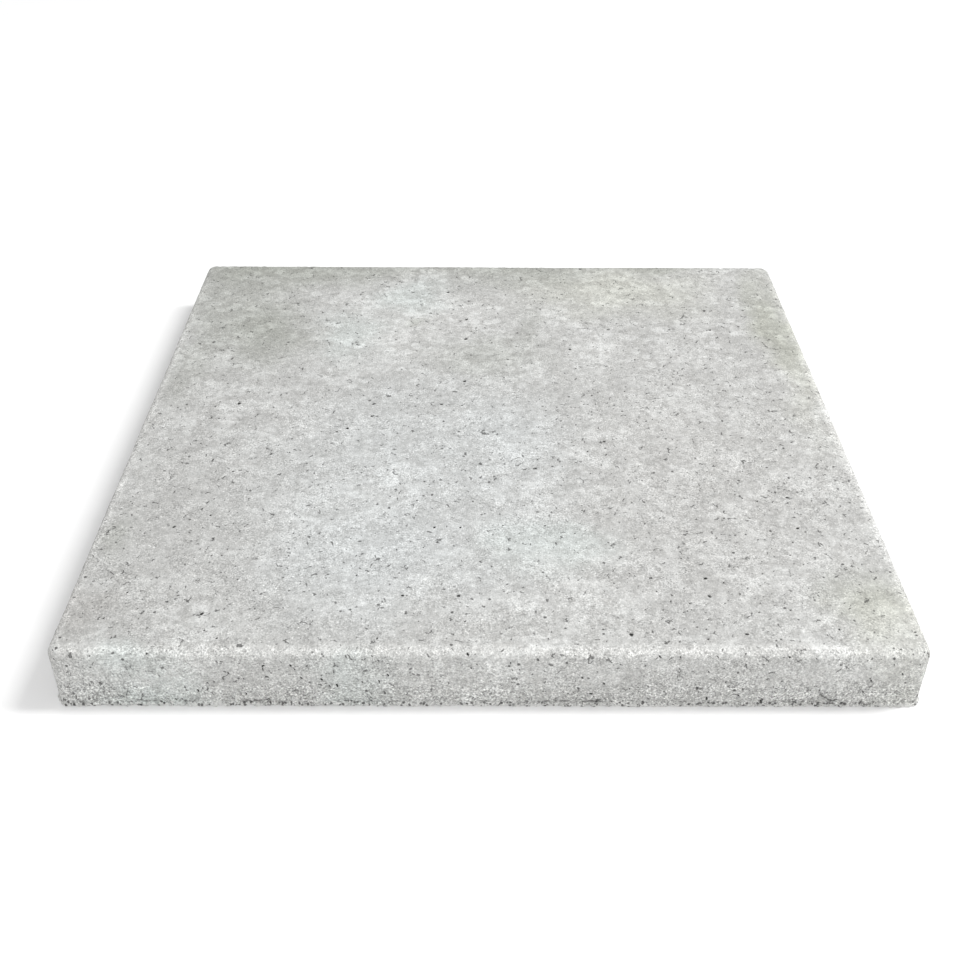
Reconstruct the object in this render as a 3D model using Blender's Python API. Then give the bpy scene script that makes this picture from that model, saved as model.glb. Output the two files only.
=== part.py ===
"""A square pressed concrete slab, cast in two layers: a fine facing mix on a coarser backing mix.

Units are metres and +Z is up. The origin is the middle of the base, where the slab stands. The two layers are
separate solids on one plan, so whatever changes the plan changes both of them.
"""

import bmesh
import bpy

COLLECTION_NAME = "granite_slab"

# Overall sizes of the slab.
LENGTH = 0.600  # along X
WIDTH = 0.600  # along Y
THICKNESS = 0.050  # from the base to the top face

# The layers: the backing lies from the base up, and the facing takes the rest of the thickness.
BACKING_DEPTH = 0.020
LAYER_GAP = 0.0003  # hairline that keeps the two solids apart

# The edges.
CORNER_RADIUS = 0.009  # the four upright corners, seen in plan
ARRIS_RADIUS = 0.007  # the rounded edge all round the top face
BASE_CHAMFER = 0.0015  # the worn edge all round the base

# How finely the round edges are faceted.
CORNER_STEPS = 10
ARRIS_STEPS = 8

SAME_HEIGHT = 1e-6  # two points this close in Z are at one height
SMOOTH_BELOW = 0.6  # radians: faces that meet at a smaller angle are shaded as one surface

FACING_COLOUR = (0.570, 0.575, 0.555, 1.0)
BACKING_COLOUR = (0.490, 0.495, 0.475, 1.0)
CONCRETE_ROUGHNESS = 0.88


def clear_scene():
    """Takes away whatever the scene holds."""
    for thing in list(bpy.data.objects):
        bpy.data.objects.remove(thing, do_unlink=True)


def concrete(name, colour):
    """A matt material in one mix's colour."""
    finish = bpy.data.materials.new(name)
    finish.use_nodes = True
    shader = finish.node_tree.nodes["Principled BSDF"]
    shader.inputs["Base Color"].default_value = colour
    shader.inputs["Roughness"].default_value = CONCRETE_ROUGHNESS
    shader.inputs["Metallic"].default_value = 0.0
    return finish


def upright_edges(shape):
    """The edges that join the block's lower face to its upper face."""
    return [edge for edge in shape.edges if abs(edge.verts[0].co.z - edge.verts[1].co.z) > SAME_HEIGHT]


def rim_edges(shape, height):
    """The edges that run round the block at one height."""
    return [edge for edge in shape.edges if all(abs(corner.co.z - height) < SAME_HEIGHT for corner in edge.verts)]


def round_off(shape, edges, width, steps):
    """Rounds edges to a radius, or with one step cuts them to a chamfer."""
    bmesh.ops.bevel(
        shape,
        geom=edges,
        offset=width,
        offset_type="OFFSET",
        segments=steps,
        profile=0.5,
        affect="EDGES",
        clamp_overlap=True,
    )


def plan_block(bottom, top):
    """A block on the slab's plan between two heights, with its four upright corners rounded."""
    shape = bmesh.new()
    bmesh.ops.create_cube(shape, size=1.0)
    bmesh.ops.scale(shape, vec=(LENGTH, WIDTH, top - bottom), verts=shape.verts)
    bmesh.ops.translate(shape, vec=(0.0, 0.0, (bottom + top) / 2), verts=shape.verts)
    round_off(shape, upright_edges(shape), CORNER_RADIUS, CORNER_STEPS)
    return shape


def add_layer(name, shape, finish, collection):
    """Makes one layer's block a named object with its own material."""
    mesh = bpy.data.meshes.new(name)
    shape.to_mesh(mesh)
    shape.free()
    mesh.materials.append(finish)
    mesh.shade_smooth()
    mesh.set_sharp_from_angle(angle=SMOOTH_BELOW)
    layer = bpy.data.objects.new(name, mesh)
    collection.objects.link(layer)
    return layer


def backing_layer(collection):
    """The coarse lower layer: it stands on the base and ends in a flat bed for the facing."""
    shape = plan_block(0.0, BACKING_DEPTH)
    round_off(shape, rim_edges(shape, 0.0), BASE_CHAMFER, 1)
    return add_layer("backing_layer", shape, concrete("backing_concrete", BACKING_COLOUR), collection)


def facing_layer(collection):
    """The fine upper layer: it lies on the backing and carries the flat top face with its rounded arris."""
    shape = plan_block(BACKING_DEPTH + LAYER_GAP, THICKNESS)
    round_off(shape, rim_edges(shape, THICKNESS), ARRIS_RADIUS, ARRIS_STEPS)
    return add_layer("facing_layer", shape, concrete("facing_concrete", FACING_COLOUR), collection)


clear_scene()
slab = bpy.data.collections.new(COLLECTION_NAME)
bpy.context.scene.collection.children.link(slab)
backing_layer(slab)
facing_layer(slab)
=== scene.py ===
# %% [markdown]
# # A pressed concrete slab
#
# The object is a square paving slab, 600 mm on a side and 50 mm thick. It was filled into a mould in two
# goes: a fine facing mix, which becomes the flat top, and a coarse backing mix, which becomes the base. The
# press squeezes both into one stone. This lesson builds the two layers as two closed meshes round the packed
# solids, gives them the relief that a press and a mould leave, and finishes them with one concrete material.

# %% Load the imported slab
import math

import bpy
import numpy as np
from mathutils import Euler, Matrix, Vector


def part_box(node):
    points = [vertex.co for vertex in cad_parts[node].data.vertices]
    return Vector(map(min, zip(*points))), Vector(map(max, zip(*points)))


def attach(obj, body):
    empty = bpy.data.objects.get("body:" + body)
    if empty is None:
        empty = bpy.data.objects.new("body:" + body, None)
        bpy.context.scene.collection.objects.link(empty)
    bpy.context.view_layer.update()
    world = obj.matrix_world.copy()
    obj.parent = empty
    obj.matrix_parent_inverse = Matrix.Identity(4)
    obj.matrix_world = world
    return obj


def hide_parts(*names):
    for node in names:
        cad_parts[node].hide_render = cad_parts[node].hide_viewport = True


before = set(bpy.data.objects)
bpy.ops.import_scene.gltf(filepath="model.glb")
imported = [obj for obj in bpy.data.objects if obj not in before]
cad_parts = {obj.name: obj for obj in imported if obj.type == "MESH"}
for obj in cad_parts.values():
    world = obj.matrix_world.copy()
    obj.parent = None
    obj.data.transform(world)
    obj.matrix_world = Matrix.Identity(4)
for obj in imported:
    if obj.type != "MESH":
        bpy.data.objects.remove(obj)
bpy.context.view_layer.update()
MM = 0.001

# %% [markdown]
# ## Sizes
#
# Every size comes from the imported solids, so the looks follow the design. The boxes give the plan, the
# thickness and the height of the joint between the layers. The radii are read off the facing's own points:
# its flat top ends one arris radius short of the side, and its flat side ends one corner radius short of the
# next side.

# %% Read the sizes off the solids
facing_low, facing_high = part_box("facing_layer")
_, backing_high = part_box("backing_layer")


def node_points(name):
    """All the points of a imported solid, as an array with one row each."""
    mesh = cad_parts[name].data
    points = np.empty(len(mesh.vertices) * 3)
    mesh.vertices.foreach_get("co", points)
    return points.reshape(-1, 3)


solid_points = node_points("facing_layer")
NEARLY = 0.01 * MM
on_top = solid_points[:, 2] > facing_high.z - NEARLY
on_right = solid_points[:, 0] > facing_high.x - NEARLY

HALF = facing_high.x
THICKNESS = facing_high.z
JOINT = (backing_high.z + facing_low.z) / 2
ARRIS = HALF - solid_points[on_top, 0].max()
CORNER = HALF - solid_points[on_right, 1].max()
print(f"half side {HALF:.4f}, thickness {THICKNESS:.4f}, joint {JOINT:.5f}")
print(f"arris {ARRIS:.4f}, corner {CORNER:.4f}")

# %% [markdown]
# ## The camera
#
# The slab is looked down on from in front, from a little over half a metre above the floor. The camera could
# be aimed with a Track To constraint, but plain angles are easier to repeat: turn it up from looking straight
# down, turn it a hair to the right, then roll it a hair, as a hand-held camera is never quite level.

# %% Place the camera
CAMERA_PLACE = (-0.0042, -0.895, 0.614)
PITCH_DOWN, YAW, ROLL = (math.radians(angle) for angle in (35.79, 0.34, 0.34))
FOCAL_MM = 44.45
SENSOR_MM = 36.0

lens = bpy.data.cameras.new("camera")
lens.lens = FOCAL_MM
lens.sensor_width = SENSOR_MM
lens.clip_start = 0.01
camera = bpy.data.objects.new("camera", lens)
aim = Euler((math.pi / 2 - PITCH_DOWN, 0.0, -YAW)).to_matrix() @ Matrix.Rotation(ROLL, 3, "Z")
camera.location = CAMERA_PLACE
camera.rotation_euler = aim.to_euler()
bpy.context.scene.collection.objects.link(camera)
bpy.context.scene.camera = camera
print("camera at", CAMERA_PLACE)

# %% [markdown]
# ## The floor and the light
#
# A packshot is lit so that its white floor just burns out and the stone keeps its grey. Most of the light
# is an even white world. The key lamp stands high on the right and a little behind, for the short shadow on
# the left. It is narrow from front to back, so that the line under the front edge stays crisp. A second lamp,
# low in front, puts a gleam on the rounded arris. A third looks straight down behind the slab, where the
# floor would turn grey without it. The Standard view keeps white paper white.

# %% Make the floor
WHITE = (1.0, 1.0, 1.0, 1.0)
FLOOR_COLOUR = (0.93, 0.93, 0.93, 1.0)
FLOOR_HALF = 6.0


def floor_material():
    """A matt white paper floor."""
    paper = bpy.data.materials.new("studio_floor")
    paper.use_nodes = True
    shader = paper.node_tree.nodes["Principled BSDF"]
    shader.inputs["Base Color"].default_value = FLOOR_COLOUR
    shader.inputs["Roughness"].default_value = 1.0
    shader.inputs["Specular IOR Level"].default_value = 0.0
    return paper


floor_mesh = bpy.data.meshes.new("floor")
floor_corners = [(-FLOOR_HALF, -FLOOR_HALF, 0), (FLOOR_HALF, -FLOOR_HALF, 0),
                 (FLOOR_HALF, FLOOR_HALF, 0), (-FLOOR_HALF, FLOOR_HALF, 0)]
floor_mesh.from_pydata(floor_corners, [], [(0, 1, 2, 3)])
floor_mesh.materials.append(floor_material())
floor = bpy.data.objects.new("floor", floor_mesh)
bpy.context.scene.collection.objects.link(floor)
print("floor", 2 * FLOOR_HALF, "m across")

# %% Light it
WORLD_STRENGTH = 0.66
SLAB_MIDDLE = (0.0, 0.0, 0.0)
LAMPS = (  # name, place, aimed at, width, height and watts
    ("key_right", (1.83, 0.16, 2.60), SLAB_MIDDLE, 0.60, 1.20, 72.0),
    ("gleam_front", (0.10, -1.70, 0.80), SLAB_MIDDLE, 0.80, 0.80, 9.0),
    ("far_floor", (-1.25, 2.05, 1.60), (-1.25, 2.05, 0.0), 1.00, 1.00, 5.0),
)


def soft_lamp(name, place, aimed_at, width, height, watts):
    """A flat area lamp that looks at a place: so wide across its view, and so high."""
    light = bpy.data.lights.new(name, "AREA")
    light.shape = "RECTANGLE"
    light.size = width
    light.size_y = height
    light.energy = watts
    lamp = bpy.data.objects.new(name, light)
    lamp.location = place
    towards = np.subtract(aimed_at, place) / np.linalg.norm(np.subtract(aimed_at, place))
    pitch = math.acos(-towards[2])
    turn = math.atan2(-towards[0], towards[1])
    lamp.rotation_euler = Euler((pitch, 0.0, turn))
    bpy.context.scene.collection.objects.link(lamp)


for settings in LAMPS:
    soft_lamp(*settings)
world = bpy.data.worlds.new("even_white")
world.use_nodes = True
world.node_tree.nodes["Background"].inputs["Color"].default_value = WHITE
world.node_tree.nodes["Background"].inputs["Strength"].default_value = WORLD_STRENGTH
bpy.context.scene.world = world
bpy.context.scene.view_settings.view_transform = "Standard"
print(len(LAMPS), "lamps, world at", WORLD_STRENGTH)

# %% [markdown]
# ## Noise and grains
#
# Stone has no straight line in it, so each surface is pushed about by noise. Blender has its own noise
# functions, but they take one point a call. These take a whole array of points: random numbers sit on the
# corners of a lattice and are blended between them. The last function gives rounded bumps, one in each
# lattice cell, which is what sand and small gravel look like when they show through the cement.

# %% Write the noise
TABLE_SIZE = 4096
MIXERS = (73856093, 19349663, 83492791)  # large odd numbers, which scatter neighbouring cells over the table
CORNERS = [(a, b, c) for a in (0, 1) for b in (0, 1) for c in (0, 1)]
NEIGHBOURS = [(a, b, c) for a in (-1, 0, 1) for b in (-1, 0, 1) for c in (-1, 0, 1)]
GRAIN_STRAY = 0.4  # how far a grain may lie from its cell's middle, in cells
FAR = 9.0


def lattice_values(cells, seed):
    """A random number from -1 to 1 for each cell: its whole numbers are mixed into a row of a table."""
    table = np.random.default_rng(seed).uniform(-1.0, 1.0, TABLE_SIZE)
    mixed = cells[..., 0] * MIXERS[0] ^ cells[..., 1] * MIXERS[1] ^ cells[..., 2] * MIXERS[2]
    return table[mixed % TABLE_SIZE]


def noise(points, cell, seed):
    """Smooth noise from -1 to 1.

    The eight lattice values round a point are weighted by 3t^2 - 2t^3 of its share of the cell on each axis.
    """
    scaled_points = points / cell
    base = np.floor(scaled_points).astype(np.int64)
    part = scaled_points - base
    part = part * part * (3.0 - 2.0 * part)
    total = np.zeros(points.shape[:-1])
    for corner in CORNERS:
        weight = np.prod(np.where(corner, part, 1.0 - part), axis=-1)
        total += weight * lattice_values(base + corner, seed)
    return total


def cloud(points, cell, seed, octaves=4):
    """Noise at one size plus half as much at half the size, and so on."""
    return sum(noise(points, cell / 2**k, seed + k) / 2**k for k in range(octaves))


def grains(points, cell, seed):
    """Rounded bumps from 0 to 1: one minus the squared distance to the nearest grain's middle, in cells."""
    scaled_points = points / cell
    base = np.floor(scaled_points).astype(np.int64)
    nearest = np.full(points.shape[:-1], FAR)
    for step in NEIGHBOURS:
        here = base + step
        middle = np.stack([lattice_values(here, seed + axis) for axis in range(3)], axis=-1)
        away = here + 0.5 + GRAIN_STRAY * middle - scaled_points
        nearest = np.minimum(nearest, np.sum(away * away, axis=-1))
    return np.clip(1.0 - nearest, 0.0, 1.0)


print("noise at the origin:", round(float(noise(np.zeros((1, 3)), 0.01, 1)[0]), 3))

# %% [markdown]
# ## A square grid folded over a slab
#
# The skin could start as a bevelled cube that is subdivided, but that crowds points into the corners. Here a
# square grid is drawn onto rounded squares, one inside the next: each grid point keeps its ring and its share
# of the way from the middle of a side to the corner. The same function then carries the outermost ring down
# over the arris and the sides, where only the ring's size and height change.

# %% Write the fold
TINY = 1e-9


def fold(i, j, half, radius):
    """Grid points on rounded squares, with their outward directions in plan.

    A point lies on the ring max(|i|, |j|), and its share of the half side is min/max of the two. It walks
    that share of a straight run and an eighth of a circle: along the side first, then round the corner.
    """
    longer = np.maximum(np.abs(i), np.abs(j))
    share = np.minimum(np.abs(i), np.abs(j)) / np.maximum(longer, TINY)
    straight = half - radius
    walked = share * (straight + radius * math.pi / 4)
    turned = np.clip((walked - straight) / np.maximum(radius, TINY), 0.0, math.pi / 4)
    out = np.where(walked < straight, half, straight + radius * np.cos(turned))
    along = np.where(walked < straight, walked, straight + radius * np.sin(turned))
    ahead, aside = np.cos(turned), np.sin(turned)
    on_x = np.abs(i) >= np.abs(j)
    signs = np.stack([np.sign(i), np.sign(j)], axis=-1)
    place = np.stack([np.where(on_x, out, along), np.where(on_x, along, out)], axis=-1) * signs
    facing = np.stack([np.where(on_x, ahead, aside), np.where(on_x, aside, ahead)], axis=-1) * signs
    return place, facing


print("a corner of a 20 mm square with 2 mm rounds:", fold(np.ones(1), np.ones(1), 0.01, 0.002)[0].round(4))

# %% Lay out the grid
RINGS = 118  # rings from the middle of the top to the start of the arris
CELLS = 2 * RINGS
ROUNDING_POWER = 8  # high, so that only the outer rings have round corners
FINE = 2  # the arris and sides have this many points to each of the grid's cells
ROUND = 4 * CELLS * FINE


def flat_grid(inset):
    """The flat part of the top or the base: a square grid whose corners grow round only near its edge."""
    i, j = np.meshgrid(np.arange(-RINGS, RINGS + 1), np.arange(-RINGS, RINGS + 1), indexing="ij")
    ring = np.maximum(np.abs(i), np.abs(j)) / RINGS
    half = (HALF - inset) * ring
    radius = max(CORNER - inset, TINY) * ring**ROUNDING_POWER
    place, _ = fold(i.astype(float), j.astype(float), half, radius)
    return place


def walk(steps):
    """Once round the outermost ring, as grid numbers, with so many points to a cell, from +X, -Y on."""
    way = np.arange(4 * CELLS * steps) / steps
    side, along = way // CELLS, way % CELLS - RINGS
    i = np.select([side == 0, side == 1, side == 2], [RINGS, -along, -RINGS], along)
    j = np.select([side == 0, side == 1, side == 2], [along, RINGS, -along], -RINGS)
    return i, j


print(f"grid {CELLS} x {CELLS}, cell {2 * (HALF - ARRIS) / CELLS / MM:.2f} mm")
print(ROUND, "points round a ring of the sides")

# %% [markdown]
# ## The profile from top to base
#
# Seen in section, the skin runs over a quarter circle at the arris, straight down the side and round a small
# turn at the base. The profile is only a list of rows, each with how far it lies in from the side, how high it
# is and which way it faces. One row lies on the joint between the two mixes, because the skin is cut there
# later.

# %% Write the profile
ARRIS_ROWS = 7
FACING_ROWS = 13
BACKING_ROWS = 14
BASE_ROWS = 3
BASE_ROUND = 1.0 * MM

arris_turn = np.linspace(math.pi / 2, 0.0, ARRIS_ROWS + 1)[1:]
base_turn = np.linspace(0.0, -math.pi / 2, BASE_ROWS + 1)[1:-1]
facing_heights = np.linspace(THICKNESS - ARRIS, JOINT, FACING_ROWS + 1)[1:]
backing_heights = np.linspace(JOINT, BASE_ROUND, BACKING_ROWS + 1)[1:]
row_inset = np.concatenate([ARRIS * (1 - np.cos(arris_turn)), np.zeros(FACING_ROWS + BACKING_ROWS),
                            BASE_ROUND * (1 - np.cos(base_turn))])
row_height = np.concatenate([THICKNESS - ARRIS * (1 - np.sin(arris_turn)), facing_heights, backing_heights,
                             BASE_ROUND * (1 + np.sin(base_turn))])
row_turn = np.concatenate([arris_turn, np.zeros(FACING_ROWS + BACKING_ROWS), base_turn])
JOINT_ROW = ARRIS_ROWS + FACING_ROWS - 1
print(len(row_height), "rows, the joint is row", JOINT_ROW)

# %% Wrap the profile round the slab
ring_i, ring_j = walk(FINE)
side_place = np.empty((len(row_height), ROUND, 3))
side_facing = np.empty_like(side_place)
for row, (inset, height, turn) in enumerate(zip(row_inset, row_height, row_turn)):
    plan, outward = fold(ring_i, ring_j, np.full(ROUND, HALF - inset), max(CORNER - inset, TINY))
    side_place[row] = np.column_stack([plan, np.full(ROUND, height)])
    side_facing[row] = np.column_stack([outward * math.cos(turn), np.full(ROUND, math.sin(turn))])

UP = np.array([0.0, 0.0, 1.0])
top_plan = flat_grid(ARRIS)
base_plan = flat_grid(BASE_ROUND)
top_place = np.dstack([top_plan, np.full(top_plan.shape[:2], THICKNESS)])
base_place = np.dstack([base_plan, np.zeros(base_plan.shape[:2])])
print("top", top_place.shape, "sides", side_place.shape)

# %% [markdown]
# ## Relief
#
# The press leaves the top almost flat, with a slow wave and a fine skin. The mix was dragged along the mould's
# walls as it was spread, so the sides carry faint marks along their length. Below the joint the backing's sand
# stands proud. The base edge breaks into crumbs, with a shallow, broken groove just above them. Each of these
# is noise along the outward direction, and how much of it there is depends on how high the point lies and how
# upright it stands. Displace modifiers could add the patterns too, each with a vertex group to fade it. A sum
# of arrays says the same in a few lines.


# %% Write where the relief is strong
def ramp(value, low, high):
    """From 0 at low to 1 at high, along 3t^2 - 2t^3."""
    part = np.clip((value - low) / (high - low), 0.0, 1.0)
    return part * part * (3.0 - 2.0 * part)


def coarseness(points):
    """1 in the backing mix and 0 in the facing mix, with a ragged change between them."""
    ragged = points[..., 2] + 3.0 * MM * cloud(points, cell=22 * MM, seed=71, octaves=3)
    return ramp(ragged, JOINT + 5 * MM, JOINT - 3 * MM)


def band(height, middle, reach):
    """1 at one height, falling to 0 within twice its reach: exp(-d^2) of the distance in reaches."""
    return np.exp(-(((height - middle) / reach) ** 2))


print("coarse share at the joint:", round(float(ramp(JOINT, JOINT + 5 * MM, JOINT - 3 * MM)), 2))

# %% Write the relief
DRAG_STRETCH = np.array([1.0, 1.0, 3.5])  # squashes noise in height, so that it runs along the side


def press_relief(points):
    """The slow wave and the fine skin that the press leaves everywhere."""
    wave = 0.16 * MM * cloud(points, cell=75 * MM, seed=11, octaves=3)
    return wave + 0.045 * MM * cloud(points, cell=8 * MM, seed=21, octaves=3)


def proud_sand(points):
    """Rounded grains, which stand far out of the backing mix and hardly at all out of the facing mix."""
    bumps = 0.95 * MM * (grains(points, cell=2.9 * MM, seed=41) - 0.72)
    return bumps * (0.15 + 0.85 * coarseness(points))


def base_burr(points):
    """A broken lip at the base edge, thicker in some stretches, with crumbs on it."""
    lip = 0.6 * MM + 0.7 * MM * ramp(cloud(points, cell=50 * MM, seed=58, octaves=2), 0.0, 0.6)
    crumbs = 2.6 * MM * (grains(points, cell=3.2 * MM, seed=51) - 0.66)
    return (crumbs + lip) * band(points[..., 2], 0.0, 3.4 * MM)


def base_groove(points):
    """A shallow groove some 4 mm above the base, with gaps in it."""
    gaps = ramp(cloud(points, cell=16 * MM, seed=55, octaves=4), -0.4, 0.5)
    return 0.9 * MM * band(points[..., 2], 4.0 * MM, 1.4 * MM) * gaps


def side_relief(points, upright):
    """Drag marks, sand, burr and groove, as far as the face stands upright."""
    drag = 0.16 * MM * cloud(points * DRAG_STRETCH, cell=9 * MM, seed=31, octaves=4)
    return (drag + proud_sand(points) + base_burr(points) - base_groove(points)) * upright


def arris_chips(points, turn):
    """Small bites out of the arris, deepest at half way round it."""
    bite = np.clip(cloud(points, cell=7 * MM, seed=61, octaves=3) - 0.60, 0.0, 1.0)
    rough = 0.30 * MM * cloud(points, cell=4 * MM, seed=66, octaves=2)
    return (rough - 1.5 * MM * bite) * np.sin(2 * np.clip(turn, 0.0, math.pi / 2))


turns = row_turn[:, None] * np.ones(ROUND)
worked_side = side_relief(side_place, np.cos(turns))
side_push = press_relief(side_place) + worked_side + arris_chips(side_place, turns)
top_push = press_relief(top_place)
base_push = 0.30 * MM * (1.0 - grains(base_place, cell=4 * MM, seed=45))
print(f"sides move {side_push.min() / MM:.2f} to {side_push.max() / MM:.2f} mm")

# %% Move the points
joint_sag = 1.3 * MM * cloud(side_place[JOINT_ROW], cell=60 * MM, seed=81, octaves=3)
joint_share = np.clip(1.0 - np.abs(side_place[..., 2] - JOINT) / (JOINT - BASE_ROUND), 0.0, 1.0)
side_skin = side_place + side_facing * side_push[..., None]
side_skin[..., 2] += joint_share * joint_sag
side_skin[..., 2] = np.maximum(side_skin[..., 2], 0.0)
top_skin = top_place + top_push[..., None] * UP
base_skin = base_place + base_push[..., None] * UP
print(f"joint sags {joint_sag.min() / MM:.2f} to {joint_sag.max() / MM:.2f} mm")

# %% [markdown]
# ## Pores
#
# Air trapped against the mould leaves pin holes and a few larger blow holes. Cutting a thousand holes with
# Booleans would be slow and fragile. Instead the grid itself is drawn in: the point nearest to a pore becomes
# its bottom, and the eight points round it are pulled on to its ragged rim. The mesh stays one closed sheet,
# with no new points. A blow hole takes a second ring of points, so that it has a floor. The bottom of each
# pore and the floor of each blow hole are also painted dark, as painted shade inside them.

# %% Choose where the pores are
dice = np.random.default_rng(19)
BLOCK = 4  # a small pore has a block of this many grid points each way to itself, a blow hole twice as many
BLOCKS = (CELLS - 1) // BLOCK
PIN_HOLES, PORES, BLOW_HOLES = 700, 340, 38


def likelihood(count):
    """How likely each of count by count blocks is to hold a pore: in loose clusters, and less at the back."""
    middle = (np.arange(count) + 0.5) / count * 2 * HALF
    x, y = np.meshgrid(middle, middle, indexing="ij")
    clusters = 1.3 * cloud(np.dstack([x, y, 0 * x]), cell=70 * MM, seed=91, octaves=3)
    weight = np.exp(clusters - 0.8 * ramp(y, -0.1, 0.2)).ravel()
    return weight / weight.sum()


big_blocks = dice.choice((BLOCKS // 2) ** 2, BLOW_HOLES, replace=False, p=likelihood(BLOCKS // 2))
big_a, big_b = np.divmod(big_blocks, BLOCKS // 2)
chance = likelihood(BLOCKS).reshape(BLOCKS, BLOCKS)
for a, b in ((0, 0), (0, 1), (1, 0), (1, 1)):
    chance[2 * big_a + a, 2 * big_b + b] = 0.0
chance = chance.ravel() / chance.sum()
small_blocks = dice.choice(BLOCKS**2, PIN_HOLES + PORES, replace=False, p=chance)
print(len(small_blocks), "small pores and", len(big_blocks), "blow holes on the top")


# %% Write how the grid is drawn in
def ovals(count):
    """A random direction and squeeze for each pore's outline."""
    return dice.uniform(0, math.pi, count)[:, None], dice.uniform(0.55, 1.0, count)[:, None]


def square_of(reach):
    """The grid steps round the edge of a square that reaches so many points out."""
    span = range(-reach, reach + 1)
    return [(a, b) for a in span for b in span if max(abs(a), abs(b)) == reach]


def pull_ring(skin, dark, middle, reach, oval, steps, drop, shade):
    """Moves the grid points at some steps from each pore's own point on to a ragged oval, and lowers them.
    It also writes `shade` into `dark` for them: painted shade inside the pore.

    A point at direction t goes to the middle plus reach times (cos t, sin t), squeezed along the oval's own
    axis. It strays in direction by too little to pass the next point of its ring.
    """
    lean, squeeze = oval
    offsets = np.array(steps)
    rows = middle[0][:, None] + offsets[:, 0]
    columns = middle[1][:, None] + offsets[:, 1]
    stray = dice.uniform(-0.25, 0.25, rows.shape) / offsets.max()
    angle = np.arctan2(offsets[:, 1], offsets[:, 0])[None, :] + stray
    ragged = reach[:, None] * dice.uniform(0.82, 1.2, rows.shape)
    ahead, aside = ragged * np.cos(angle - lean), ragged * squeeze * np.sin(angle - lean)
    centre = skin[middle[0], middle[1]]
    skin[rows, columns, 0] = centre[:, None, 0] + ahead * np.cos(lean) - aside * np.sin(lean)
    skin[rows, columns, 1] = centre[:, None, 1] + ahead * np.sin(lean) + aside * np.cos(lean)
    skin[rows, columns, 2] = centre[:, None, 2] - drop[:, None]
    dark[rows, columns] = shade


print("a small pore's rim has", len(square_of(1)), "points, a blow hole's", len(square_of(2)))

# %% Draw in the small pores
PIN_RIM, PORE_RIM, BLOW_RIM = (0.50, 0.85), (0.85, 1.45), (1.5, 2.4)  # from the middle to the rim, in mm
# how dark each point is painted: painted shade in the pores
top_pore_shade = np.zeros(top_skin.shape[:2])
small_at = [BLOCK * part + 2 + dice.integers(0, 2, len(small_blocks))
            for part in np.divmod(small_blocks, BLOCKS)]
is_pin = np.arange(len(small_blocks)) < PIN_HOLES
rim = np.where(is_pin, dice.uniform(*PIN_RIM, len(is_pin)), dice.uniform(*PORE_RIM, len(is_pin))) * MM
deep = rim * dice.uniform(0.9, 1.4, len(rim))
pull_ring(top_skin, top_pore_shade, small_at, rim, ovals(len(rim)), square_of(1), 0 * rim, 0.0)
top_skin[small_at[0], small_at[1], 2] -= deep
top_pore_shade[small_at[0], small_at[1]] = 1.0
print(f"small pores {deep.min() / MM:.2f} to {deep.max() / MM:.2f} mm deep")

# %% Draw in the blow holes
# the last of these is the painted shade on a blow hole's floor
FLOOR_SHARE, FLOOR_DEPTH, FLOOR_SHADE = 0.5, 0.8, 0.8  # a blow hole's floor, against its rim and its bottom
big_at = [2 * BLOCK * part + 5 for part in (big_a, big_b)]
big_rim = dice.uniform(*BLOW_RIM, len(big_at[0])) * MM
big_deep = big_rim * dice.uniform(0.7, 1.0, len(big_rim))
big_oval = ovals(len(big_rim))
big_floor = FLOOR_SHARE * big_rim
pull_ring(top_skin, top_pore_shade, big_at, big_rim, big_oval, square_of(2), 0 * big_rim, 0.0)
pull_ring(top_skin, top_pore_shade, big_at, big_floor, big_oval, square_of(1), big_deep * FLOOR_DEPTH, FLOOR_SHADE)
top_skin[big_at[0], big_at[1], 2] -= big_deep
top_pore_shade[big_at[0], big_at[1]] = 1.0
print(f"deepest pore {(THICKNESS - top_skin[..., 2].min()) / MM:.2f} mm")

# %% [markdown]
# The sides have a finer grid, so a pore there is one, two or three neighbouring points pushed straight in.
# These points are also painted dark, as painted shade inside the pore.

# %% Push in the pores of the sides
SIDE_PORES = 330
SMALL_SHARE = 0.85
PORE_POINTS = (  # rows down, points along, the share of the pores that have this point, and how deep it is
    (0, 0, 1.0, 1.0),
    (0, 1, 0.14, 0.8),
    (1, 0, 0.14, 0.8),
)
side_pore_shade = np.zeros((len(row_height), ROUND))
pore_row = dice.integers(2, len(row_height) - 5, SIDE_PORES)
pore_at = dice.integers(0, ROUND, SIDE_PORES)
pore_small = dice.uniform(0, 1, SIDE_PORES) < SMALL_SHARE
pore_deep = np.where(pore_small, 0.5, 1.3) * dice.uniform(0.7, 1.2, SIDE_PORES) * MM
# how dark each side pore is painted: painted shade inside it
pore_dark = np.where(pore_small, 0.60, 0.90) * dice.uniform(0.85, 1.1, SIDE_PORES)
for down, on, share, depth in PORE_POINTS:
    has = dice.uniform(0, 1, SIDE_PORES) < share
    row, at = pore_row[has] + down, (pore_at[has] + on) % ROUND
    side_skin[row, at] -= side_facing[row, at] * (pore_deep[has] * depth)[:, None]
    side_pore_shade[row, at] = (pore_dark * depth)[has]
print(SIDE_PORES, "pores in the sides")
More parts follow.
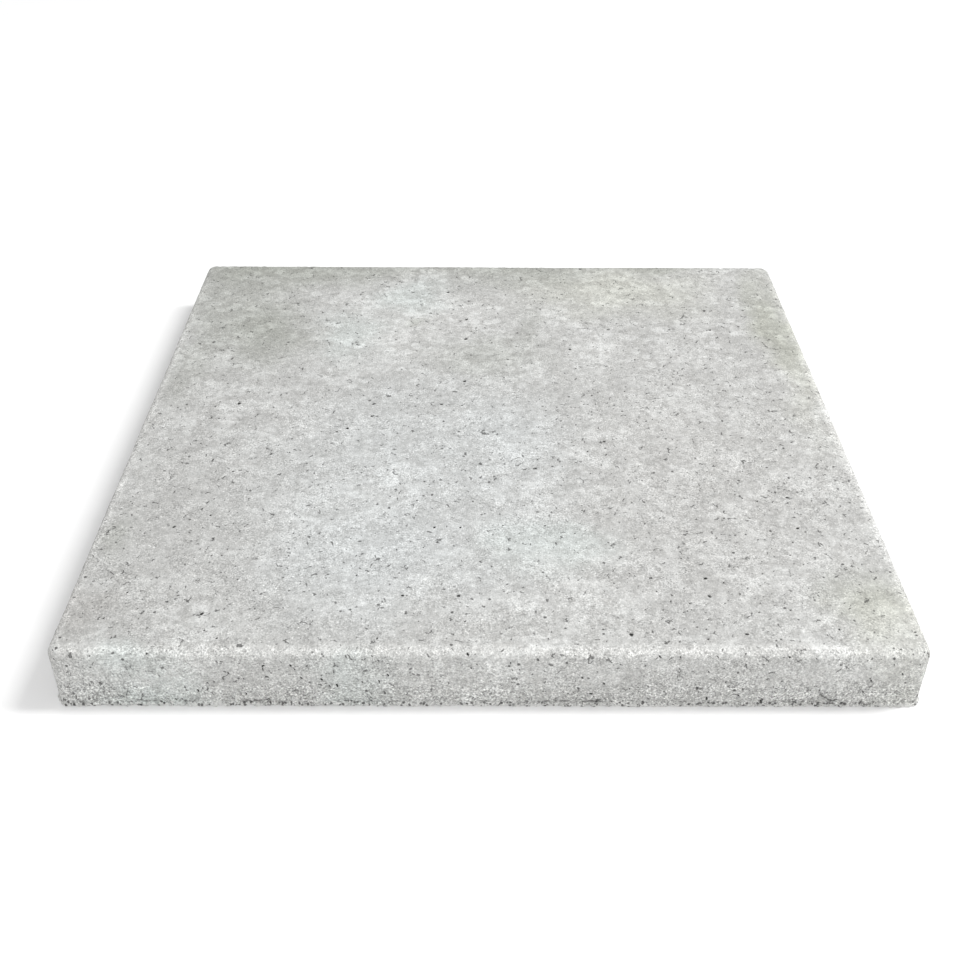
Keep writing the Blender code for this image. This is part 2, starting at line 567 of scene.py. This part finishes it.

# %% [markdown]
# ## Colour that follows the place
#
# Some of the slab's colour belongs to a place on it and not to a pattern: a cool bloom of lime over the
# middle, olive stains where damp has lain along the back, a brownish corner, and the pale arris, which is
# partly worn and partly a painted highlight. A soft brush in Texture Paint could put them there. Here each
# stain is an oval that fades outwards, its outline broken by noise, and the sum is kept with the mesh's points
# for the material to read.

# %% Place the stains
OLIVE_DAMP = (-0.17, -0.16, -0.19)
COOL_BLOOM = (0.084, 0.104, 0.120)
TEAL_TRACE = (0.010, 0.055, 0.050)
YELLOW_TRACE = (0.005, 0.010, -0.045)
PALE_LIME = (0.09, 0.09, 0.09)
BROWN_SHADE = (-0.06, -0.07, -0.075)
STAINS = (  # a shift of colour, then each stain's x, y, reach along x, reach along y, and strength
    (OLIVE_DAMP, (
        (-0.250, 0.220, 0.065, 0.085, 0.85), (-0.200, 0.280, 0.100, 0.030, 0.80),
        (-0.210, 0.140, 0.045, 0.065, 0.90), (-0.275, 0.090, 0.020, 0.080, 0.60),
        (0.020, 0.270, 0.075, 0.030, 0.80), (0.190, 0.292, 0.080, 0.014, 0.60),
        (-0.005, 0.108, 0.055, 0.036, 0.70), (0.045, 0.155, 0.014, 0.035, 0.50),
        (-0.080, 0.172, 0.010, 0.010, 1.00), (0.000, 0.306, 0.340, 0.028, 0.80),
        (0.286, 0.170, 0.022, 0.100, 0.80), (-0.283, -0.170, 0.015, 0.025, 0.70),
        (0.270, -0.232, 0.030, 0.032, 0.45))),
    (COOL_BLOOM, (
        (-0.060, -0.090, 0.120, 0.150, 1.00), (-0.090, -0.210, 0.070, 0.060, 0.70),
        (0.030, -0.020, 0.050, 0.050, 0.60))),
    (TEAL_TRACE, (
        (-0.075, 0.225, 0.035, 0.035, 1.00), (-0.130, 0.145, 0.030, 0.045, 1.00),
        (0.050, -0.180, 0.045, 0.030, 1.00), (-0.235, -0.310, 0.035, 0.014, 1.00),
        (-0.100, -0.310, 0.030, 0.014, 0.80))),
    (YELLOW_TRACE, (
        (0.130, 0.235, 0.090, 0.050, 1.00), (0.285, 0.120, 0.020, 0.150, 0.80),
        (0.280, -0.260, 0.030, 0.040, 1.00))),
    (PALE_LIME, (
        (-0.100, 0.155, 0.065, 0.065, 1.10), (-0.060, 0.200, 0.060, 0.050, 0.60),
        (0.000, 0.190, 0.040, 0.030, 0.70), (0.105, 0.125, 0.030, 0.028, 0.80),
        (-0.166, -0.020, 0.022, 0.022, 0.80), (0.160, -0.020, 0.030, 0.030, 0.60),
        (-0.085, -0.118, 0.030, 0.028, 0.70), (0.050, -0.190, 0.034, 0.026, 0.90),
        (-0.090, -0.235, 0.030, 0.020, 0.50), (0.255, -0.185, 0.022, 0.020, 0.60))),
    (BROWN_SHADE, (
        (-0.285, -0.260, 0.025, 0.030, 1.30), (0.130, -0.130, 0.120, 0.120, 0.35),
        (0.220, 0.000, 0.100, 0.220, 0.30))),
)
STAIN_WANDER = 14 * MM  # how far noise moves a stain's outline


def stain_sum(points):
    """The colour factor at each point: 1 plus every stain's shift.

    A shift fades by exp(-d^3) of the distance d from the stain's middle, counted in reaches.
    """
    wander = np.stack([cloud(points, cell=45 * MM, seed=seed) for seed in (101, 111)], axis=-1)
    plan = points[..., :2] + wander * STAIN_WANDER
    factor = np.ones(points.shape)
    for colour_shift, stains in STAINS:
        for x, y, reach_x, reach_y, strength in stains:
            away = ((plan[..., 0] - x) / reach_x) ** 2 + ((plan[..., 1] - y) / reach_y) ** 2
            factor += np.exp(-(away**1.5))[..., None] * (strength * np.array(colour_shift))
    return factor


top_tint, side_tint, base_tint = stain_sum(top_place), stain_sum(side_place), stain_sum(base_place)
print(sum(len(stains) for _, stains in STAINS), "stains")
print("tint from", side_tint.min().round(3), "to", top_tint.max().round(3))


# %% Place the wear and the calm
def calmness(points):
    """0 over the sandy front of the slab and 1 over its calmer back."""
    ragged = points[..., 1] + 40 * MM * cloud(points, cell=90 * MM, seed=131, octaves=3)
    return ramp(ragged, -40 * MM, 160 * MM)


def worn(points, near_arris):
    """How pale the arris is, partly from wear and partly a painted highlight: with gaps, pale at the front and
    the sides, a little dark along the back.
    """
    gaps = 0.75 + 0.35 * cloud(points, cell=12 * MM, seed=121, octaves=3)
    back = ramp(points[..., 1], HALF - 60 * MM, HALF - 10 * MM)
    return near_arris * gaps * (1.0 - 1.5 * back)


# the pale arris on top and on the sides: partly wear, partly a painted highlight
top_worn = worn(top_place, 0.70 * band(np.abs(top_plan).max(-1), HALF - ARRIS, 1.6 * MM))
side_worn = worn(side_place, band(np.degrees(turns), 60.0, 30.0) * (turns > 0))
# how far the worked relief lies in or stands proud; the material paints shade in the hollows and a highlight
# on the crests from it
side_hollow = np.clip(-worked_side / (0.75 * MM), -1.0, 1.0)
side_coarse = 0.4 + 0.6 * coarseness(side_place)
side_calm = 0.5 * calmness(side_place)
print("hollow from", side_hollow.min().round(2), "to", side_hollow.max().round(2))

# %% [markdown]
# ## Two closed layers
#
# The skin is cut along the joint's row and each half is closed with a bed. The two beds are sloped apart by
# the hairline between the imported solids, but at the side both layers use the very same points, so no gap
# shows. A mesh is put together from blocks of faces, each block a whole array of point numbers: squares for
# the grids, and triangles where the finer side rows meet the coarser flat grid.


# %% Write the face blocks
def grid_faces(count, first):
    """The squares of a count by count grid of points, numbered row by row, facing up."""
    number = first + np.arange(count * count).reshape(count, count)
    corners = [number[:-1, :-1], number[1:, :-1], number[1:, 1:], number[:-1, 1:]]
    return np.stack(corners, axis=-1).reshape(-1, 4)


def strip_faces(upper, lower):
    """The squares between two rings with the same number of points, facing out."""
    return np.stack([upper, lower, np.roll(lower, -1), np.roll(upper, -1)], axis=-1)


def widening_faces(coarse, fine):
    """Three triangles at each step of a coarse ring, down to a ring with twice as many points."""
    here, between, after, beyond = fine[::2], fine[1::2], np.roll(fine[::2], -1), np.roll(coarse, -1)
    corners = [(coarse, here, between), (coarse, between, beyond), (beyond, between, after)]
    return np.concatenate([np.stack(three, axis=-1) for three in corners])


def fan_faces(ring, middle):
    """Triangles from a ring to one point below it, facing down."""
    return np.stack([ring, np.full(len(ring), middle), np.roll(ring, -1)], axis=-1)


def outer_ring(count, first):
    """The point numbers round the edge of a grid, in the order of the walk."""
    i, j = walk(1)
    return first + ((i + RINGS) * count + (j + RINGS)).astype(np.int64)


print("a grid of 3 x 3 points has", len(grid_faces(3, 0)), "squares")

# %% Write the mesh maker
SHARP_FROM = math.radians(38)


def build_mesh(name, points, face_blocks, marks):
    """A mesh from its points, its blocks of faces, and the values kept with its points.

    All the faces of one block have the same number of corners.
    """
    corners = np.concatenate([block.ravel() for block in face_blocks])
    sizes = np.concatenate([np.full(len(block), block.shape[1]) for block in face_blocks])
    mesh = bpy.data.meshes.new(name)
    mesh.vertices.add(len(points))
    mesh.vertices.foreach_set("co", points.astype(np.float32).ravel())
    mesh.loops.add(len(corners))
    mesh.loops.foreach_set("vertex_index", corners.astype(np.int32))
    mesh.polygons.add(len(sizes))
    mesh.polygons.foreach_set("loop_start", (np.cumsum(sizes) - sizes).astype(np.int32))
    mesh.update(calc_edges=True)
    for mark, values in marks.items():
        if values.ndim == 1:
            kept_values = mesh.attributes.new(mark, "FLOAT", "POINT").data
            kept_values.foreach_set("value", values.astype(np.float32))
        else:
            coloured = np.column_stack([values, np.ones(len(values))]).astype(np.float32)
            kept_values = mesh.attributes.new(mark, "FLOAT_COLOR", "POINT").data
            kept_values.foreach_set("color", coloured.ravel())
    return mesh


def add_piece(name, mesh, material):
    """Puts a mesh in the scene as a piece, smooth but for its broken edges."""
    mesh.materials.append(material)
    mesh.shade_smooth()
    mesh.set_sharp_from_angle(angle=SHARP_FROM)
    piece = bpy.data.objects.new(name, mesh)
    bpy.context.scene.collection.objects.link(piece)
    triangles = sum(len(polygon.vertices) - 2 for polygon in mesh.polygons)
    print(f"{name}: {len(mesh.vertices)} points, {triangles} triangles")
    return piece


print("edges are sharp from", round(math.degrees(SHARP_FROM)), "degrees")

# %% Put each layer's points together
BED_INSET = 4 * MM  # how far in from the side a bed becomes flat
GRID_COUNT = CELLS + 1
GRID_POINTS = GRID_COUNT**2


def bed(height):
    """A ring a little way in from the side, and the middle point that closes the bed."""
    place, _ = fold(ring_i, ring_j, np.full(ROUND, HALF - BED_INSET), CORNER - BED_INSET)
    ring = np.column_stack([place, np.full(ROUND, height)])
    return np.vstack([ring, [[0.0, 0.0, height]]])


facing_rows = slice(0, JOINT_ROW + 1)
backing_rows = slice(JOINT_ROW, len(row_height))
facing_side, backing_side = (side_skin[rows].reshape(-1, 3) for rows in (facing_rows, backing_rows))
facing_points = np.vstack([top_skin.reshape(-1, 3), facing_side, bed(facing_low.z)])
backing_points = np.vstack([base_skin.reshape(-1, 3), backing_side, bed(backing_high.z)])
print(len(facing_points), "and", len(backing_points), "points")


# %% Put each layer's kept values together
def marks_of(tint, **marks):
    """The values kept with some points, as flat arrays: a tint, and any number of plain values."""
    return {"tint": tint.reshape(-1, 3), **{mark: values.ravel() for mark, values in marks.items()}}


def side_marks(rows):
    """The kept values of some of the side's rows."""
    return marks_of(side_tint[rows], pore=side_pore_shade[rows], worn=side_worn[rows], coarse=side_coarse[rows],
                    hollow=side_hollow[rows], calm=side_calm[rows])


def joined(*blocks):
    """Several blocks of kept values as one."""
    return {mark: np.concatenate([block[mark] for block in blocks]) for mark in blocks[0]}


blank = np.zeros((GRID_COUNT, GRID_COUNT))
top_marks = marks_of(top_tint, pore=top_pore_shade, worn=top_worn, coarse=blank, hollow=blank,
                     calm=calmness(top_place))
base_marks = marks_of(base_tint, pore=blank, worn=blank, coarse=blank + 1.0, hollow=blank, calm=blank)
unseen = np.zeros(ROUND + 1)
bed_marks = marks_of(np.ones((ROUND + 1, 3)), pore=unseen, worn=unseen, coarse=unseen + 1.0, hollow=unseen,
                     calm=unseen)
facing_marks = joined(top_marks, side_marks(facing_rows), bed_marks)
backing_marks = joined(base_marks, side_marks(backing_rows), bed_marks)
print("kept with each point:", ", ".join(facing_marks))


# %% Join the blocks of faces
def ring_numbers(first, count):
    """The point numbers of several side rings that follow one another."""
    return first + np.arange(count * ROUND).reshape(count, ROUND)


def strips(rings):
    """All the squares between rings that follow one another downwards."""
    return [strip_faces(upper, lower) for upper, lower in zip(rings[:-1], rings[1:])]


facing_rings = ring_numbers(GRID_POINTS, JOINT_ROW + 1)
facing_bed = ring_numbers(GRID_POINTS + facing_rings.size, 1)[0]
facing_faces = [grid_faces(GRID_COUNT, 0), widening_faces(outer_ring(GRID_COUNT, 0), facing_rings[0])]
facing_faces += strips(facing_rings) + [strip_faces(facing_rings[-1], facing_bed)]
facing_faces += [fan_faces(facing_bed, facing_bed[-1] + 1)]

backing_rings = ring_numbers(GRID_POINTS, len(row_height) - JOINT_ROW)
backing_bed = ring_numbers(GRID_POINTS + backing_rings.size, 1)[0]
backing_faces = [grid_faces(GRID_COUNT, 0)[:, ::-1]]
backing_faces += [widening_faces(outer_ring(GRID_COUNT, 0), backing_rings[-1])[:, ::-1]]
backing_faces += strips(backing_rings) + [strip_faces(backing_bed, backing_rings[0])]
backing_faces += [fan_faces(backing_bed, backing_bed[-1] + 1)[:, ::-1]]
for layer, blocks in (("facing", facing_faces), ("backing", backing_faces)):
    print(layer, "has", sum(len(block) for block in blocks), "faces")

# %% [markdown]
# ## The concrete
#
# Concrete is cement paste with sand in it. From near by, the paste is clouded with lime that has dried on it
# in flocks, each grain of sand has its own grey, a few are nearly white or nearly black, and there are fine
# cracks and pin holes. A picture of concrete wrapped round the mesh would do for one view. These patterns are
# worked out from the Object coordinates instead, so they run unbroken over the arris, over the joint and
# round the corners.
#
# Small helpers keep the node code readable. One adds a node and wires what it is given, and the others do a
# sum, a soft step, a noise or a layer of colour with it.


# %% Write the node helpers
def add_node(tree, kind, inputs=None, **settings):
    """Adds a node. Each input is a plain value, or another node's output to wire in."""
    made = tree.nodes.new("ShaderNode" + kind)
    for setting, value in settings.items():
        setattr(made, setting, value)
    for socket, value in (inputs or {}).items():
        if isinstance(value, bpy.types.NodeSocket):
            tree.links.new(value, made.inputs[socket])
        else:
            made.inputs[socket].default_value = value
    return made


def sum_of(tree, operation, first, second):
    """One step of arithmetic between two sockets or numbers."""
    return add_node(tree, "Math", {0: first, 1: second}, operation=operation).outputs[0]


def both_of(tree, first, second):
    """Two shares multiplied: 1 only where both are 1."""
    return sum_of(tree, "MULTIPLY", first, second)


def scaled(tree, value, factor, plus=0.0):
    """A value times a factor, plus a number."""
    return add_node(tree, "Math", {0: value, 1: factor, 2: plus}, operation="MULTIPLY_ADD").outputs[0]


def step_up(tree, value, none_at, all_at, to=1.0):
    """0 where a value reaches none_at and `to` where it reaches all_at, with a soft change between them."""
    inputs = {"Value": value, "From Min": none_at, "From Max": all_at, "To Min": 0.0, "To Max": to}
    return add_node(tree, "MapRange", inputs, interpolation_type="SMOOTHSTEP").outputs[0]


def speckle(tree, place, size, detail=3.0, rough=0.6):
    """Noise from 0 to 1 whose blobs are about `size` across."""
    inputs = {"Vector": place, "Scale": 1.0 / size, "Detail": detail, "Roughness": rough}
    return add_node(tree, "TexNoise", inputs).outputs[0]


def tinted(tree, factor, below, above, blend="MIX"):
    """One colour laid over another by a factor."""
    inputs = {0: factor, 6: below, 7: above}
    return add_node(tree, "Mix", inputs, data_type="RGBA", blend_type=blend).outputs[2]


def laid_over(tree, colour, share, strength, above):
    """A colour with another laid over it where a share is 1, at some strength."""
    return tinted(tree, scaled(tree, share, strength), colour, above)


def grey_times(tree, colour, grey):
    """A colour made lighter or darker by a factor."""
    as_colour = add_node(tree, "CombineColor", {0: grey, 1: grey, 2: grey}).outputs[0]
    return tinted(tree, 1.0, colour, as_colour, "MULTIPLY")


def kept(tree, mark, output="Fac"):
    """A value kept with the mesh's points, or a colour."""
    return add_node(tree, "Attribute", attribute_name=mark).outputs[output]


# %% [markdown]
# ### Paste, lime and sand
#
# The paste's grey comes first. Flocks of lime lie over it at two sizes, thicker where a broad pattern allows,
# and flat pale flakes lie over both. Then every grain of sand, a Voronoi cell a millimetre or two across, may
# be nearly white or nearly black. Grit makes all of this lighter and darker, more strongly in sandy patches
# and in the backing than on the smooth parts of the top.

# %% Write the paste and its lime
PASTE = (0.400, 0.399, 0.388, 1.0)
LIME = (0.578, 0.583, 0.572, 1.0)


def warped(tree, place, amount, size):
    """Coordinates pushed about by noise, so that a pattern read from them wanders."""
    inputs = {"Vector": place, "Scale": 1.0 / size, "Detail": 2.0}
    push = add_node(tree, "TexNoise", inputs).outputs["Color"]
    centred = add_node(tree, "VectorMath", {0: push, 1: (0.5, 0.5, 0.5)}, operation="SUBTRACT").outputs[0]
    moved = add_node(tree, "VectorMath", {0: centred, "Scale": amount}, operation="SCALE").outputs[0]
    return add_node(tree, "VectorMath", {0: place, 1: moved}, operation="ADD").outputs[0]


def cells_of(tree, place, size):
    """A Voronoi pattern: each cell's random number, and the distance from its middle."""
    inputs = {"Vector": place, "Scale": 1.0 / size, "Randomness": 1.0}
    cell = add_node(tree, "TexVoronoi", inputs, feature="F1")
    luck = add_node(tree, "SeparateColor", {0: cell.outputs["Color"]}).outputs[0]
    return luck, cell.outputs["Distance"]


def lime_flocks(tree, place):
    """How much lime lies on the paste: flocks of 26 mm plus flocks of 7.5 mm, times a broad cloud."""
    broad = step_up(tree, speckle(tree, place, 90 * MM, 4.0, 0.55), 0.30, 0.70)
    flock = step_up(tree, speckle(tree, place, 26 * MM, 5.0, 0.62), 0.46, 0.57)
    crumb = step_up(tree, speckle(tree, place, 7.5 * MM, 4.0, 0.65), 0.48, 0.57)
    flocks = sum_of(tree, "ADD", scaled(tree, flock, 0.46), scaled(tree, crumb, 0.40))
    return both_of(tree, flocks, scaled(tree, broad, 0.75, 0.32))


def flakes(tree, place):
    """1 on a pale flake: half of the cells of a warped pattern, some 11 mm across, in loose patches."""
    luck, distance = cells_of(tree, warped(tree, place, 9 * MM, 7 * MM), 11 * MM)
    flake = both_of(tree, step_up(tree, luck, 0.50, 0.53), step_up(tree, distance, 0.58, 0.46))
    return both_of(tree, flake, step_up(tree, speckle(tree, place, 45 * MM), 0.42, 0.56))


def limed_paste(tree, place, lime, calm):
    """The paste, its lime and its flakes. There are more flakes where the slab is calm."""
    flaky = both_of(tree, flakes(tree, place), scaled(tree, calm, 0.45, 0.28))
    return tinted(tree, flaky, tinted(tree, lime, PASTE, LIME), LIME)


print("paste", PASTE[:3], "and lime", LIME[:3])

# %% Write the sand and the grit
# PALE_GRAIN_AND_HIGHLIGHT: pale sand grains and crumbs, and the painted highlight on ridges and crests.
# DARK_GRAIN_AND_SHADE: dark grains, and the painted shade in furrows.
PALE_GRAIN_AND_HIGHLIGHT = (0.78, 0.78, 0.76, 1.0)
DARK_GRAIN_AND_SHADE = (0.16, 0.16, 0.155, 1.0)
PALE_LUCK = (0.84, 0.92)  # a grain turns pale as its random number goes from the first to the second
DARK_LUCK = (0.10, 0.05)  # and it turns dark from the first of these to the second


def sanded(tree, colour, luck, body, contrast):
    """A few grains of sand nearly white, and fewer nearly black."""
    bright = both_of(tree, step_up(tree, luck, *PALE_LUCK, contrast), body)
    dull = both_of(tree, step_up(tree, luck, *DARK_LUCK, contrast), body)
    return tinted(tree, dull, tinted(tree, bright, colour, PALE_GRAIN_AND_HIGHLIGHT), DARK_GRAIN_AND_SHADE)


def grit_grey(tree, place, fine, coarse, calm):
    """The factor by which grit lightens or darkens: 1 plus two sizes of noise about their middle."""
    patches = step_up(tree, speckle(tree, place, 28 * MM), 0.40, 0.60)
    sandy = both_of(tree, patches, scaled(tree, calm, -0.6, 1.0))
    strength = sum_of(tree, "ADD", scaled(tree, sandy, 0.9, 0.55), scaled(tree, coarse, 0.95))
    fine_part = both_of(tree, scaled(tree, fine, 1.30, -0.65), strength)
    return sum_of(tree, "ADD", scaled(tree, speckle(tree, place, 4.8 * MM), 0.70, 0.65), fine_part)


print(f"fully pale grains: {1 - PALE_LUCK[1]:.0%}, fully dark ones: {DARK_LUCK[1]:.0%}")

# %% [markdown]
# ### Lines, crevices and crumbs
#
# The skin is crinkled, faintly on top and more on the sides: noise stretched along the ground draws thin lines
# where it crosses its middle value. One set of them is ridges painted pale, a painted highlight, and the other
# furrows painted dark, a painted shade. Between proud grains the crevices get painted shade and the crests a
# painted highlight, which follows the relief kept with the points. Close to the base lie single pale and dark
# crumbs.

# %% Write the lines, the crevices and the crumbs
# near black: painted shade in pores, pin holes, hair cracks and crevices, and the colour of dark crumbs
SHADE_AND_CRUMB_DARK = (0.040, 0.040, 0.038, 1.0)
RIDGE_AT = (0.0, 0.0, 0.0)
FURROW_AT = (0.4, 0.2, 0.3)  # the furrows read the same noise elsewhere


def crinkles(tree, place, shift):
    """1 on thin crinkled lines, where noise stretched along the ground crosses its middle value."""
    inputs = {0: place, 1: (1.0, 1.0, 1.8), 2: shift}
    moved = add_node(tree, "VectorMath", inputs, operation="MULTIPLY_ADD").outputs[0]
    middle = scaled(tree, speckle(tree, moved, 4.2 * MM, 3.0, 0.62), 1.0, -0.5)
    return step_up(tree, sum_of(tree, "ABSOLUTE", middle, 0.0), 0.060, 0.022)


def painted_relief_light(tree, colour, fine, hollow):
    """Painted shade in the crevices between proud grains, and a painted highlight on the grains' crests."""
    crevice_shade = step_up(tree, sum_of(tree, "ADD", hollow, scaled(tree, fine, 1.6, -0.80)), 0.50, 0.85)
    crest_highlight = step_up(tree, sum_of(tree, "SUBTRACT", scaled(tree, fine, 1.4, -0.70), hollow), 0.45, 1.0)
    colour = laid_over(tree, colour, crevice_shade, 0.60, SHADE_AND_CRUMB_DARK)
    return laid_over(tree, colour, crest_highlight, 0.55, PALE_GRAIN_AND_HIGHLIGHT)


def crumbed(tree, colour, place):
    """Pale and dark crumbs, 2 mm cells chosen by their random numbers, only near the base edge."""
    height = add_node(tree, "SeparateXYZ", {0: place}).outputs[2]
    ragged = sum_of(tree, "ADD", height, scaled(tree, speckle(tree, place, 12 * MM), 16 * MM, -8 * MM))
    luck, distance = cells_of(tree, warped(tree, place, 1.0 * MM, 1.5 * MM), 2.0 * MM)
    body = step_up(tree, distance, 0.62, 0.42)
    pale = both_of(tree, step_up(tree, ragged, 5.0 * MM, 1.0 * MM), step_up(tree, luck, 0.50, 0.54))
    dark = both_of(tree, step_up(tree, ragged, 7.0 * MM, 2.5 * MM), step_up(tree, luck, 0.28, 0.24))
    colour = laid_over(tree, colour, both_of(tree, pale, body), 0.90, PALE_GRAIN_AND_HIGHLIGHT)
    return laid_over(tree, colour, both_of(tree, dark, body), 0.80, SHADE_AND_CRUMB_DARK)


print("furrows are read", FURROW_AT, "away from the ridges")

# %% [markdown]
# ### Pin holes and hair cracks
#
# A hair crack is the border between two Voronoi cells, warped by noise and shown only in short lengths. A pin
# hole is the middle of a Voronoi cell, in the few cells whose random number is high. These are too small for
# the mesh, so they are only drawn and bumped: painted dark, as painted shade inside them.

# %% Write the cracks and pin holes
PIN_CELL = 6.5 * MM
PIN_SHARE = 0.09


def hair_cracks(tree, place):
    """1 on a hair crack and 0 off it."""
    inputs = {"Vector": warped(tree, place, 5 * MM, 4 * MM), "Scale": 1.0 / (12 * MM)}
    border = add_node(tree, "TexVoronoi", inputs, feature="DISTANCE_TO_EDGE").outputs["Distance"]
    short = step_up(tree, speckle(tree, place, 5.3 * MM, 2.0, 0.5), 0.60, 0.66)
    return both_of(tree, step_up(tree, border, 0.050, 0.020), short)


def pin_holes(tree, place):
    """1 in a pin hole: the middle of those cells whose random number is in the top share."""
    luck, distance = cells_of(tree, warped(tree, place, 1.6 * MM, 2 * MM), PIN_CELL)
    chosen = step_up(tree, luck, 1.0 - PIN_SHARE, 1.0 - PIN_SHARE + 0.01)
    return both_of(tree, step_up(tree, distance, 0.22, 0.12), chosen)


def drawn_holes(tree, place, calm):
    """The cracks and pin holes together, drawn dark as painted shade. There are fewer pin holes where the slab
    is calm.
    """
    cracks = hair_cracks(tree, place)
    pins = both_of(tree, pin_holes(tree, place), scaled(tree, calm, -0.7, 1.0))
    return sum_of(tree, "MAXIMUM", scaled(tree, cracks, 0.75), scaled(tree, pins, 0.80))


print(f"a pin hole in {PIN_SHARE:.0%} of cells {PIN_CELL / MM:.1f} mm across")

# %% [markdown]
# ### Putting the layers in order
#
# Colour goes on from the inside out: paste, lime, flakes, sand, crinkled lines (a painted highlight on the
# ridges, painted shade in the furrows), grit, stains, the arris paled by wear and a painted highlight, the
# sides painted lighter, painted shade in the crevices and a painted highlight on the crests, the crumbs of the
# base, and last the holes, painted dark as painted shade, which nothing covers. The bump takes the grains, the
# lines and the holes too, so that what looks like a grain also catches the light like one.

# %% Write the material
BUMP_STRENGTH = 0.7
BUMP_DEPTH = 0.7 * MM
DRY_SHINE = 0.35


def stone_bump(tree, fine, body, holes, lines, coarse):
    """The small relief: grit, grains and lines stand up, holes go in, and the coarse mix has more of it."""
    height = sum_of(tree, "ADD", scaled(tree, fine, 1.1), scaled(tree, body, 0.5))
    height = sum_of(tree, "SUBTRACT", height, scaled(tree, holes, 1.2))
    height = both_of(tree, sum_of(tree, "ADD", height, lines), scaled(tree, coarse, 0.85, 0.6))
    inputs = {"Height": height, "Strength": BUMP_STRENGTH, "Distance": BUMP_DEPTH}
    return add_node(tree, "Bump", inputs).outputs["Normal"]


def concrete(name, grain_size, contrast):
    """A layer's concrete. The grain size sets its sand, and the contrast how far single grains stand out."""
    mix = bpy.data.materials.new(name)
    mix.use_nodes = True
    tree = mix.node_tree
    shader = tree.nodes["Principled BSDF"]
    place = add_node(tree, "TexCoord").outputs["Object"]
    coarse, pore, pale = kept(tree, "coarse"), kept(tree, "pore"), kept(tree, "worn")
    hollow, calm = kept(tree, "hollow"), kept(tree, "calm")
    fine = speckle(tree, place, 1.4 * MM, 2.0, 0.7)
    lime = lime_flocks(tree, place)
    luck, distance = cells_of(tree, place, grain_size)
    body = step_up(tree, distance, 0.62, 0.30)
    reach = scaled(tree, coarse, 0.60, 0.13)
    ridge_highlight = both_of(tree, crinkles(tree, place, RIDGE_AT), reach)
    furrow_shade = both_of(tree, crinkles(tree, place, FURROW_AT), reach)

    colour = sanded(tree, limed_paste(tree, place, lime, calm), luck, body, contrast)
    # painted highlight on the crinkled ridges, painted shade in the furrows
    colour = laid_over(tree, colour, ridge_highlight, 0.82, PALE_GRAIN_AND_HIGHLIGHT)
    colour = laid_over(tree, colour, furrow_shade, 0.30, DARK_GRAIN_AND_SHADE)
    colour = grey_times(tree, colour, grit_grey(tree, place, fine, coarse, calm))
    colour = tinted(tree, 1.0, colour, kept(tree, "tint", "Color"), "MULTIPLY")
    # lift: the arris paled by wear and a painted highlight, and the sides up to 15% lighter as painted light
    # on them
    lift = sum_of(tree, "ADD", scaled(tree, pale, 0.28, 1.0), scaled(tree, coarse, 0.15))
    # painted shade in the crevices between proud grains, painted highlight on their crests
    colour = painted_relief_light(tree, grey_times(tree, colour, lift), fine, hollow)
    colour = crumbed(tree, colour, place)
    holes = drawn_holes(tree, place, calm)
    # the pores painted dark from the kept pore shade, as painted shade inside them
    deep = step_up(tree, sum_of(tree, "ADD", pore, scaled(tree, fine, 1.1, -0.55)), 0.34, 0.44)
    # pin holes, hair cracks and pores painted near black: painted shade inside them
    colour = tinted(tree, sum_of(tree, "MAXIMUM", holes, deep), colour, SHADE_AND_CRUMB_DARK)

    lines = sum_of(tree, "SUBTRACT", ridge_highlight, furrow_shade)
    dryness = {"Value": lime, "From Min": 0.0, "From Max": 0.8, "To Min": 0.80, "To Max": 0.95}
    tree.links.new(colour, shader.inputs["Base Color"])
    tree.links.new(add_node(tree, "MapRange", dryness).outputs[0], shader.inputs["Roughness"])
    tree.links.new(stone_bump(tree, fine, body, holes, lines, coarse), shader.inputs["Normal"])
    shader.inputs["Specular IOR Level"].default_value = DRY_SHINE
    print(name, "has", len(tree.nodes), "nodes")
    return mix


# %% [markdown]
# ## The two pieces
#
# The facing's sand is fine and the backing's is coarser. Both layers lie in one rigid body, so both ride on
# it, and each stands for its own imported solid.

# %% Make the pieces
facing_mesh = build_mesh("pressed_facing", facing_points, facing_faces, facing_marks)
backing_mesh = build_mesh("pressed_backing", backing_points, backing_faces, backing_marks)
facing = add_piece("pressed_facing", facing_mesh, concrete("facing_concrete", 1.4 * MM, 0.45))
backing = add_piece("pressed_backing", backing_mesh, concrete("backing_concrete", 1.7 * MM, 0.75))

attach(facing, "root")
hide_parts("facing_layer")
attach(backing, "root")
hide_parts("backing_layer")
